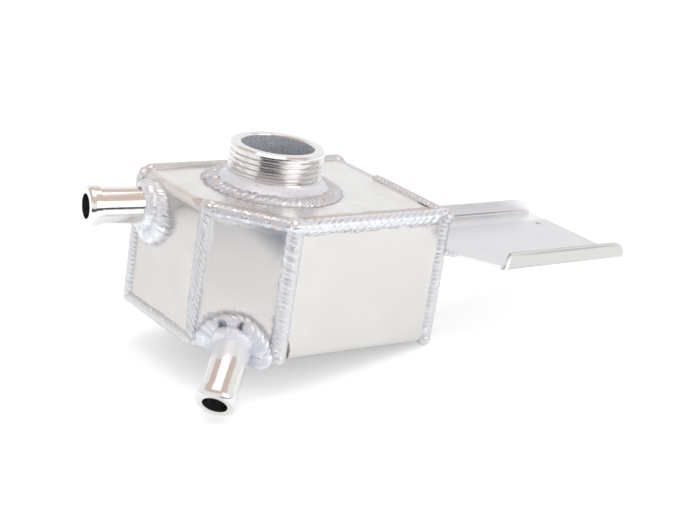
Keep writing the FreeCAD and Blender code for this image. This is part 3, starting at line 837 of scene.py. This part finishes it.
# %% Thread ridge
bpy.ops.object.select_all(action="DESELECT")
bpy.ops.mesh.primitive_circle_add(vertices=6, radius=mm)
ridge = bpy.context.active_object
ridge_section = [(thread_root - 0.3, -1.2), (thread_root, -1.12), (neck_radius - 0.05, -0.4),
                 (neck_radius - 0.05, 0.4), (thread_root, 1.12), (thread_root - 0.3, 1.2)]
for vertex, (radius, height) in zip(ridge.data.vertices, ridge_section):
    vertex.co = (radius * mm, 0, (thread_foot + height) * mm)
wind = ridge.modifiers.new("wind", "SCREW")
wind.axis = "Z"
wind.angle = 2 * math.pi * thread_turns
wind.screw_offset = thread_pitch * thread_turns * mm
wind.iterations = 1
wind.steps = round(128 * thread_turns)
wind.render_steps = wind.steps
bpy.ops.object.modifier_apply(modifier="wind")
bpy.ops.object.mode_set(mode="EDIT")
bpy.ops.mesh.select_all(action="SELECT")
bpy.ops.mesh.fill_holes(sides=8)
bpy.ops.mesh.select_all(action="SELECT")
bpy.ops.mesh.normals_make_consistent(inside=False)
bpy.ops.object.mode_set(mode="OBJECT")
print("ridge: %.2f turns of %.1f mm" % (thread_turns, thread_pitch))

# %% Neck joined and finished
neck.select_set(True)
ridge.select_set(True)
bpy.context.view_layer.objects.active = neck
bpy.ops.object.join()
bpy.ops.object.shade_smooth_by_angle(angle=math.radians(25))
neck.data.materials.append(lathe_finish)
neck.data.materials.append(bore_finish)
for polygon in neck.data.polygons:
    middle = polygon.center
    radius = math.hypot(middle.x, middle.y)
    level_face = abs(polygon.normal.z) > 0.5
    in_bore = radius < (bore_radius + 0.1) * mm and not level_face
    polygon.material_index = 1 if in_bore else 0
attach(neck, "root")
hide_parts("filler_neck")
print("neck faces:", len(neck.data.polygons))

# %% [markdown]
# ## Weld beads
# One frozen pool is a squashed ball that leans back against the pool before it. Copies of it,
# each a little different, are set along the seam and melted together by a voxel remesh. That
# gives real ripples, which catch the light and show in the outline too. Where the torch was
# held askew the pools are turned as well, and the bead looks like a rope.

# %% One pool
dice = random.Random(7)


def pool_ball(name, radius, thickness):
    """One frozen pool: a ball squashed along X."""
    bpy.ops.object.select_all(action="DESELECT")
    bpy.ops.mesh.primitive_uv_sphere_add(segments=24, ring_count=14, radius=radius)
    ball = bpy.context.active_object
    ball.name = name
    bpy.ops.object.mode_set(mode="EDIT")
    bpy.ops.mesh.select_all(action="SELECT")
    bpy.ops.transform.resize(value=(thickness / radius, 1, 1))
    bpy.ops.object.mode_set(mode="OBJECT")
    return ball


# %% Paths of pools
def straight_path(start, end, crown, pitch):
    """Places of pools on a line: (point, direction along, direction out)."""
    length = (end - start).length
    along = (end - start).normalized()
    count = max(2, round(length / pitch) + 1)
    return [(start + along * length * i / (count - 1), along, crown) for i in range(count)]


def arc_path(centre, axis, first, turn, pitch, crown_lean=0.0):
    """Places of pools on an arc that starts at centre + first and turns about the axis."""
    length = abs(turn) * first.length
    count = max(2, round(length / pitch) + 1)
    places = []
    for i in range(count):
        out = Quaternion(axis, turn * i / (count - 1)) @ first
        along = (axis.cross(out) * (1 if turn > 0 else -1)).normalized()
        crown = out.normalized() * math.sin(crown_lean) + axis * math.cos(crown_lean)
        places.append((centre + out, along, crown))
    return places


# %% Pools along a path
def set_pools(name, places, radius, thickness, lean, yaw, wobble, sizes):
    """Copies of one pool along these places, each a little different."""
    ball = pool_ball(name, radius, thickness)
    pools = []
    slant = math.tan(math.radians(-yaw))
    pitch = (places[1][0] - places[0][0]).length
    run_in = max(1.0, abs(slant) * radius / pitch)
    for number, (point, along, crown) in enumerate(places):
        across = crown.cross(along).normalized()
        out = along.cross(across)
        turn = Matrix((along, across, out)).transposed().to_4x4()
        share = min(1.0, number / run_in, (len(places) - 1 - number) / run_in)
        skew = Matrix.Identity(4)
        skew[0][1] = slant * share + dice.uniform(-0.08, 0.08)
        tilt = Matrix.Rotation(math.radians(lean + dice.uniform(-5, 5)), 4, "Y")
        size = sizes[number % len(sizes)] * (1 - dice.uniform(0, 2 * wobble))
        squash = Matrix.Diagonal((1, size, size, 1))
        shift = along * dice.uniform(-wobble, wobble) * radius
        copy = ball.data.copy()
        copy.transform(Matrix.Translation(point + shift) @ turn @ squash @ skew @ tilt)
        pool = bpy.data.objects.new(name + "_pool", copy)
        bpy.context.scene.collection.objects.link(pool)
        pools.append(pool)
    bpy.data.objects.remove(ball)
    return pools


# %% Pools melted to a bead
def weld_bead(name, replaced, places, radius, thickness, metal, lean=24, yaw=0, voxel=0.42,
              wobble=0.04, sizes=(1.0,)):
    """Bead of pools melted together, which stands for these CAD nodes."""
    pools = set_pools(name, places, radius, thickness, lean, yaw, wobble, sizes)
    bpy.ops.object.select_all(action="DESELECT")
    for pool in pools:
        pool.select_set(True)
    bpy.context.view_layer.objects.active = pools[0]
    bpy.ops.object.join()
    bead = bpy.context.active_object
    bead.name = name
    melt = bead.modifiers.new("melt", "REMESH")
    melt.mode = "VOXEL"
    melt.voxel_size = voxel * mm
    melt.use_smooth_shade = True
    bpy.ops.object.modifier_apply(modifier="melt")
    bead.data.materials.clear()
    bead.data.materials.append(metal)
    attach(bead, "root")
    if replaced:
        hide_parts(*replaced)
    print("%-24s %3d pools, %6d faces" % (name, len(places), len(bead.data.polygons)))


# %% [markdown]
# ## Seams of the box
# Each seam sits in the open corner between two sheets. Its centre lies inside the corner, so
# that a round rod of metal fills the notch and stands proud of both faces.

# %% Line of a bead between two faces
seam_reach = 5.5 * mm
slim_reach = 4.0 * mm
seam_crown = 1.4 * mm


def seam_line(corner_a, corner_b, normal_a, normal_b, z_a, z_b, reach=seam_reach):
    """Centre line, radius and outward direction of the bead between two faces."""
    out = (normal_a + normal_b).normalized()
    overlap = normal_a.dot(normal_b)
    side_a = (normal_b - normal_a * overlap).normalized() * -reach
    side_b = (normal_a - normal_b * overlap).normalized() * -reach
    half_chord = (side_a - side_b).length / 2
    rise = ((side_a + side_b) / 2).length + seam_crown
    radius = (half_chord ** 2 + rise ** 2) / (2 * rise)
    centre = out * (seam_crown - radius)
    start = Vector((corner_a.x, corner_a.y, z_a)) + centre
    end = Vector((corner_b.x, corner_b.y, z_b)) + centre
    return start, end, out, radius


print("seams reach %.1f mm over each face" % (seam_reach / mm))

# %% [markdown]
# The seams don't look alike. Along the front the pools lie askew like a rope, the upright seam
# left of the cut-off corner has steep slanted streaks, and the others are drawn out smooth. A
# few numbers tell them apart: the pitch of the pools, their half thickness, how far they are
# turned and how much they wobble.

# %% Kinds of bead
# pitch, half thickness, yaw, wobble and metal
bead_styles = {
    "rope": (4.4 * mm, 5.2 * mm, -56, 0.01, bright_weld),
    "rough": (3.0 * mm, 3.6 * mm, -25, 0.06, tinted_weld),
    "slanted": (3.6 * mm, 2.8 * mm, -62, 0.01, frosted_weld),
    "smooth": (2.6 * mm, 4.8 * mm, -15, 0.04, frosted_weld),
    "plain": (2.6 * mm, 3.8 * mm, -30, 0.02, frosted_weld),
    "drawn": (2.4 * mm, 4.6 * mm, -10, 0.01, frosted_weld),
}
level_end_gap = 1.8 * mm
upright_end_gap = 2.2 * mm
print("kinds of bead:", ", ".join(bead_styles))

# %% Level seams
fold_radius = 6 * mm
level_seams = {
    "corner_top_seam": ("side_corner", "corner_front", "corner", "top", "rough"),
    "front_top_seam": ("corner_front", "front_end", "front", "top", "rope"),
    "back_top_seam": ("end_back", "side_back", "back", "top", "drawn"),
    "side_base_seam": ("side_back", "side_corner", "side", "base", "plain"),
    "end_base_seam": ("front_end", "end_back", "end", "base", "plain"),
    "back_base_seam": ("side_back", "end_back", "back", "base", "plain"),
}
for seam, (corner_a, corner_b, wall, face, style) in level_seams.items():
    pitch, thickness, yaw, wobble, metal = bead_styles[style]
    level = planes[face][1] * (1 if face == "top" else -1)
    start, end, out, radius = seam_line(plan[corner_a], plan[corner_b], planes[wall][0],
                                        planes[face][0], level, level)
    along = (end - start).normalized()
    start = start + along * level_end_gap
    end = end - along * (fold_radius if seam == "back_top_seam" else level_end_gap)
    weld_bead(seam + "_ripples", [seam], straight_path(start, end, out, pitch),
              radius, thickness, metal, yaw=yaw, wobble=wobble)

# %% Upright seams
upright_seams = {
    "side_corner_seam": ("side_corner", "side", "corner", "slanted"),
    "corner_front_seam": ("corner_front", "corner", "front", "smooth"),
    "front_end_seam": ("front_end", "front", "end", "plain"),
    "end_back_seam": ("end_back", "end", "back", "plain"),
}
for seam, (corner, wall_a, wall_b, style) in upright_seams.items():
    pitch, thickness, yaw, wobble, metal = bead_styles[style]
    start, end, out, radius = seam_line(plan[corner], plan[corner], planes[wall_a][0],
                                        planes[wall_b][0], base_z, top_z,
                                        slim_reach if style == "slanted" else seam_reach)
    start.z += upright_end_gap
    end.z -= upright_end_gap
    weld_bead(seam + "_ripples", [seam], straight_path(start, end, out, pitch),
              radius, thickness, metal, yaw=yaw, wobble=wobble)

# %% [markdown]
# ## Top seam of the end wall
# This bead stands proud at the front and is filed flush over its back part. The proud part is
# a bead as before. The dressed part is a small bevelled block of the plate's own finish that
# fills the open corner, since a bead pressed flat would still show ripples.

# %% Proud part
pitch, thickness, yaw, wobble, metal = bead_styles["plain"]
start, end, out, radius = seam_line(plan["front_end"], plan["end_back"], planes["end"][0],
                                    planes["top"][0], top_z, top_z)
proud_length = 61 * mm
proud_end = start + (end - start).normalized() * proud_length
proud_path = straight_path(start, proud_end, out, 3.4 * mm)
end = end - (end - start).normalized() * 2.0 * mm
tail_end = end - (end - start).normalized() * 2.5 * mm
weld_bead("end_top_seam_ripples", ["end_top_seam"],
          proud_path + straight_path(tail_end, end, out, 2.5 * mm),
          radius, 3.8 * mm, metal, yaw=yaw, wobble=0.02)

# %% Dressed part
bpy.ops.object.select_all(action="DESELECT")
dressed_length = 42 * mm
dressed_end = back_y - fold_radius / 2
bpy.ops.mesh.primitive_cube_add(size=1.0)
fill = bpy.context.active_object
fill.name = "end_top_seam_dressed"
bpy.ops.object.mode_set(mode="EDIT")
bpy.ops.mesh.select_all(action="SELECT")
bpy.ops.transform.resize(value=(sheet, dressed_length, sheet))
bpy.ops.transform.translate(value=(end_x - sheet / 2, dressed_end - dressed_length / 2,
                                   top_z - sheet / 2))
bpy.ops.mesh.select_all(action="SELECT")
bpy.ops.mesh.bevel(offset=0.5 * mm, segments=3, affect="EDGES")
bpy.ops.object.mode_set(mode="OBJECT")
bpy.ops.object.shade_smooth_by_angle(angle=math.radians(40))
fill.data.materials.append(nodes["end_plate"].data.materials[0])
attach(fill, "root")
print("dressed over %.0f mm" % (dressed_length / mm))

# %% [markdown]
# ## Back seam of the side wall
# The side wall and the top plate are one sheet with a soft fold, so this bead climbs the wall
# and follows the fold into the top plate. Its path is a line and a quarter circle.

# %% Back seam, carried round the fold
pitch, thickness, yaw, wobble, metal = bead_styles["plain"]
start, end, out, radius = seam_line(plan["side_back"], plan["side_back"], planes["back"][0],
                                    planes["side"][0], base_z, top_z - fold_radius)
fold_axis = Vector((side_x + fold_radius, start.y, top_z - fold_radius))
around = arc_path(fold_axis, Vector((0, 1, 0)), end - fold_axis, math.pi / 2, pitch)
bent = []
for point, along, crown in around:
    outward = (point - fold_axis).normalized()
    bent.append((point, along, (outward + planes["back"][0]).normalized()))
start.z += 1.5 * mm
weld_bead("back_side_seam_ripples", ["back_side_seam"],
          straight_path(start, end, out, pitch) + bent[1:],
          radius, thickness, metal, yaw=yaw, wobble=wobble)


# %% [markdown]
# ## Puddles
# Where three beads meet, the last one leaves a small pool that fills the corner. It is smooth
# and flat, so a squashed ball does it, sunk so far that only its cap is seen.


# %% Puddles in the corners
def puddle(name, centre, out, radii, metal):
    """Smooth blob of weld metal whose third radius points outwards."""
    bpy.ops.object.select_all(action="DESELECT")
    bpy.ops.mesh.primitive_uv_sphere_add(segments=32, ring_count=20, radius=1, location=centre,
                                         rotation=out.to_track_quat("Z", "Y").to_euler(),
                                         scale=radii)
    blob = bpy.context.active_object
    blob.name = name
    bpy.ops.object.transform_apply(location=True, rotation=True, scale=True)
    bpy.ops.object.shade_smooth()
    blob.data.materials.append(metal)
    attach(blob, "root")
    print("%-22s %.1f x %.1f x %.1f mm" % ((name,) + tuple(2 * r / mm for r in radii)))


corner_tip = Vector((plan["corner_front"].x, plan["corner_front"].y, top_z))
tip_out = (planes["front"][0] + planes["corner"][0] + up).normalized()
puddle("corner_puddle", corner_tip - tip_out * 3.2 * mm, tip_out,
       (5.6 * mm, 4.8 * mm, 2.7 * mm), pale_weld)
side_tip = Vector((plan["side_corner"].x, plan["side_corner"].y, top_z))
side_tip_out = (planes["side"][0] + planes["corner"][0] + up).normalized()
puddle("side_corner_puddle", side_tip - side_tip_out * 3.2 * mm, side_tip_out,
       (5.4 * mm, 4.6 * mm, 2.4 * mm), frosted_weld)

# %% [markdown]
# ## Weld round the neck
# This weld was laid with larger pools, as broad as a coin. Inside them a frosted collar of metal
# climbs the neck. Pools on a ring give the coins, and the collar is a plain spun section, since
# it has no ripples of its own.

# %% Neck weld
ring_middle = 32.2 * mm
weld_bead("neck_weld_coins", ["neck_weld"],
          arc_path(Vector((0, 0, -0.6 * mm)), up, Vector((ring_middle, 0, 0)),
                   2 * math.pi, 3.6 * mm),
          6.2 * mm, 2.5 * mm, tinted_weld, lean=54, voxel=0.45, wobble=0.04,
          sizes=(1.0, 0.96, 0.92, 0.97))
collar = spin_section("neck_weld_collar", [
    (24.2, -1.5), (24.2, 7.0), (26.1, 6.9), (26.8, 5.9), (27.7, 4.8), (28.8, 3.8),
    (30.0, 2.7), (33.0, 1.4), (36.5, 0.2), (37.0, -1.5)], 96)
bpy.ops.object.shade_smooth_by_angle(angle=math.radians(40))
collar.data.materials.append(collar_weld)
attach(collar, "root")
print("collar faces:", len(collar.data.polygons))

# %% [markdown]
# ## Weld round the side tail
# A fat ring, fatter below the tail, where the metal ran down. Its coins lean outwards, and a
# second, thinner ring runs up the tail as a frosted toe. One ring with more height would look
# like a rubber seal, and the toe is what makes it read as metal that wetted the tube.

# %% Side tail weld
side_out = planes["side"][0]
side_ring_up = Vector((0, 0, 10.9 * mm))
weld_bead("side_tail_weld_coins", ["side_tail_weld"],
          arc_path(side_tail_centre + side_out * 0.9 * mm, side_out, side_ring_up,
                   2 * math.pi, 2.5 * mm, 0.2),
          6.9 * mm, 4.0 * mm, pale_weld, lean=40, wobble=0.015,
          sizes=(1.0, 0.98, 0.95, 0.91, 0.87, 0.91))
side_tail_axis = Vector((-0.981, 0.191, -0.030)).normalized()
toe_first = Vector((0.191, 0.981, 0)).normalized() * 8.9 * mm
weld_bead("side_tail_toe", [],
          arc_path(side_tail_root + side_tail_axis * 4.0 * mm, side_tail_axis, toe_first,
                   2 * math.pi, 3.0 * mm, 0.4),
          5.4 * mm, 4.6 * mm, pale_weld, lean=35, wobble=0.05, sizes=(1.0, 0.94, 0.88))

# %% [markdown]
# ## Weld over the lower tail
# The tail leaves the foot of the cut-off corner at a slant, so its weld is an arch over it. Both
# feet of the arch end a little above the base, the left one higher than the right one. The
# toe follows the tail's own slant and not the wall.

# %% Arch over the lower tail
arch_radius = 15 * mm
lift_left, lift_right = math.radians(15), math.radians(8)
arch_first = (up * math.sin(lift_left) - corner_along * math.cos(lift_left)) * arch_radius
arch = arc_path(low_tail_centre, corner_out, arch_first,
                lift_left + lift_right - math.pi, 3.4 * mm)
weld_bead("lower_tail_weld_coins", ["lower_tail_weld"], arch, 7.9 * mm, 3.9 * mm, coin_weld,
          lean=55, wobble=0.035, sizes=(1.0, 0.97, 1.0, 0.93, 0.96, 0.90))
slant = math.radians(37.8)
low_tail_axis = corner_out * math.cos(slant) - up * math.sin(slant)
weld_bead("lower_tail_toe", [],
          arc_path(low_tail_root + low_tail_axis * 1.0 * mm, low_tail_axis,
                   -corner_along * 8.4 * mm, -math.pi, 2.2 * mm, 0.4),
          4.3 * mm, 4.0 * mm, collar_weld, lean=30, wobble=0.03)

# %% [markdown]
# The arch runs together with the seam at the foot of the corner's wall. In the solids both are
# one node. Here the seam is a bead like the others, and a puddle joins it to the arch.

# %% Foot of the corner's wall
foot_start, foot_end, foot_crown, foot_radius = seam_line(
    plan["side_corner"], plan["corner_front"], corner_out, -up, base_z, base_z)
weld_bead("corner_foot_ripples", [], straight_path(foot_start, foot_end, foot_crown, 3 * mm),
          foot_radius, 3.2 * mm, frosted_weld, yaw=-30)
foot_tip = Vector((plan["corner_front"].x, plan["corner_front"].y, base_z + 2.4 * mm))
puddle("arch_foot_puddle", foot_tip - corner_along * 5.5 * mm - corner_out * 0.6 * mm, corner_out,
       (5.0 * mm, 3.6 * mm, 2.6 * mm), frosted_weld)

# %% [markdown]
# ## Welds of the bracket
# Thin sheet takes a small torch, so these beads are half as wide as the seams, with a finer
# voxel size to keep their ripples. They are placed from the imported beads' own boxes.

# %% Bracket welds
fillet_inset = 0.6 * mm
fillet_end_gap = 2 * mm
bracket_low, bracket_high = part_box("bracket_weld")
fillet_start = Vector((end_x + fillet_inset, bracket_low.y + fillet_end_gap,
                       bracket_low.z + fillet_inset))
fillet_end = Vector((fillet_start.x, bracket_high.y - fillet_end_gap, fillet_start.z))
weld_bead("bracket_weld_ripples", ["bracket_weld"],
          straight_path(fillet_start, fillet_end, Vector((1, 0, 1)).normalized(), 2 * mm),
          2.6 * mm, 2.2 * mm, frosted_weld, voxel=0.3)
tack_low, tack_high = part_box("bracket_corner_weld")
tack_start = Vector((tack_low.x + 2.6 * mm, tack_high.y - 2.0 * mm, tack_low.z + 2.0 * mm))
tack_end = Vector((tack_high.x - 1.0 * mm, tack_low.y + 2.2 * mm, tack_low.z + 1.8 * mm))
weld_bead("bracket_corner_ripples", ["bracket_corner_weld"],
          straight_path(tack_start, tack_end, up, 1.9 * mm),
          2.3 * mm, 1.5 * mm, bright_weld, voxel=0.3, wobble=0.08, sizes=(1.0, 0.9))
